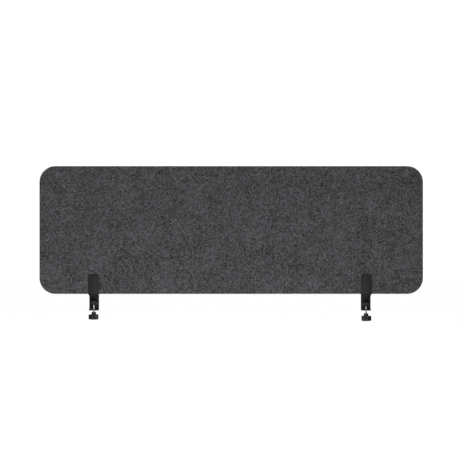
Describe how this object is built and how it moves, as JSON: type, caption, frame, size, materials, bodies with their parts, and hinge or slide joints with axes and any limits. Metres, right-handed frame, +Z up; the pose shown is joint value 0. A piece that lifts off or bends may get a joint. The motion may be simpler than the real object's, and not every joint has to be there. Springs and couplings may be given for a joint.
{
  "type": "desk privacy panel",
  "caption": "Rounded felt screen that stands on a desk's edge, held by steel screw clamps with channel-shaped holders, swivel feet and lobed hand knobs.",
  "frame": {"origin": "on the desk's top surface, the plane of both upper rubber strips, under the middle of the board's length and thickness", "axes": "+X along the board to the right, -Y towards the person at the desk, +Z up"},
  "size_m": [1.2, 0.0343, 0.4856],
  "materials": {
    "felt": "matte",
    "black_steel": "satin",
    "zinc_steel": "satin",
    "rubber": "matte",
    "dish_plastic": "matte",
    "knob_plastic": "satin"
  },
  "bodies": {
    "panel": {"felt_panel": "felt"},
    "left_clamp": {"left_panel_holder": "black_steel", "left_clamp_frame": "black_steel", "left_desk_pad": "rubber", "left_outer_holder_screw": "zinc_steel", "left_inner_holder_screw": "zinc_steel", "left_upper_weld_nut": "black_steel", "left_lower_weld_nut": "black_steel"},
    "left_jaw": {"left_pressure_plate": "black_steel"},
    "left_upper_screw": {"left_upper_set_screw": "zinc_steel"},
    "left_lower_screw": {"left_lower_set_screw": "zinc_steel"},
    "left_foot": {"left_foot_pad": "rubber", "left_foot_dish": "dish_plastic"},
    "left_screw": {"left_spindle": "zinc_steel", "left_foot_clip": "zinc_steel", "left_knob": "knob_plastic", "left_knob_cap": "knob_plastic"},
    "right_clamp": {"right_panel_holder": "black_steel", "right_clamp_frame": "black_steel", "right_desk_pad": "rubber", "right_outer_holder_screw": "zinc_steel", "right_inner_holder_screw": "zinc_steel", "right_upper_weld_nut": "black_steel", "right_lower_weld_nut": "black_steel"},
    "right_jaw": {"right_pressure_plate": "black_steel"},
    "right_upper_screw": {"right_upper_set_screw": "zinc_steel"},
    "right_lower_screw": {"right_lower_set_screw": "zinc_steel"},
    "right_foot": {"right_foot_pad": "rubber", "right_foot_dish": "dish_plastic"},
    "right_screw": {"right_spindle": "zinc_steel", "right_foot_clip": "zinc_steel", "right_knob": "knob_plastic", "right_knob_cap": "knob_plastic"}
  },
  "joints": [
    {"name": "left_clamp_slide", "type": "slide", "parent": "panel", "child": "left_clamp", "axis": [1, 0, 0], "range_m": [-0.0995, 0.4005]},
    {"name": "left_jaw_travel", "type": "slide", "parent": "left_clamp", "child": "left_jaw", "axis": [0, 1, 0], "range_m": [0, 0.0023]},
    {"name": "left_upper_set_screw_turn", "type": "hinge", "parent": "left_jaw", "child": "left_upper_screw", "pos_m": [-0.4305, 0.0124, 0.0501], "axis": [0, 1, 0], "range_deg": [0, 1035]},
    {"name": "left_lower_set_screw_turn", "type": "hinge", "parent": "left_jaw", "child": "left_lower_screw", "pos_m": [-0.4305, 0.0124, 0.022], "axis": [0, 1, 0], "range_deg": [0, 1035]},
    {"name": "left_foot_travel", "type": "slide", "parent": "left_clamp", "child": "left_foot", "axis": [0, 0, 1], "range_m": [-0.0141, 0.0045]},
    {"name": "left_knob_turn", "type": "hinge", "parent": "left_foot", "child": "left_screw", "pos_m": [-0.4305, 0.0025, -0.0438], "axis": [0, 0, 1], "range_deg": [-5076, 1620]},
    {"name": "right_clamp_slide", "type": "slide", "parent": "panel", "child": "right_clamp", "axis": [1, 0, 0], "range_m": [-0.3925, 0.1075]},
    {"name": "right_jaw_travel", "type": "slide", "parent": "right_clamp", "child": "right_jaw", "axis": [0, 1, 0], "range_m": [0, 0.0023]},
    {"name": "right_upper_set_screw_turn", "type": "hinge", "parent": "right_jaw", "child": "right_upper_screw", "pos_m": [0.4225, 0.0124, 0.0501], "axis": [0, 1, 0], "range_deg": [0, 1035]},
    {"name": "right_lower_set_screw_turn", "type": "hinge", "parent": "right_jaw", "child": "right_lower_screw", "pos_m": [0.4225, 0.0124, 0.022], "axis": [0, 1, 0], "range_deg": [0, 1035]},
    {"name": "right_foot_travel", "type": "slide", "parent": "right_clamp", "child": "right_foot", "axis": [0, 0, 1], "range_m": [-0.0096, 0.009]},
    {"name": "right_knob_turn", "type": "hinge", "parent": "right_foot", "child": "right_screw", "pos_m": [0.4225, 0.0025, -0.0438], "axis": [0, 0, 1], "range_deg": [-3456, 3240]}
  ],
  "couplings": [
    {"joint": "left_knob_turn", "follows": "left_foot_travel", "rad_per_m": 6283.2},
    {"joint": "left_upper_set_screw_turn", "follows": "left_jaw_travel", "rad_per_m": 7854},
    {"joint": "left_lower_set_screw_turn", "follows": "left_jaw_travel", "rad_per_m": 7854},
    {"joint": "right_knob_turn", "follows": "right_foot_travel", "rad_per_m": 6283.2},
    {"joint": "right_upper_set_screw_turn", "follows": "right_jaw_travel", "rad_per_m": 7854},
    {"joint": "right_lower_set_screw_turn", "follows": "right_jaw_travel", "rad_per_m": 7854}
  ]
}
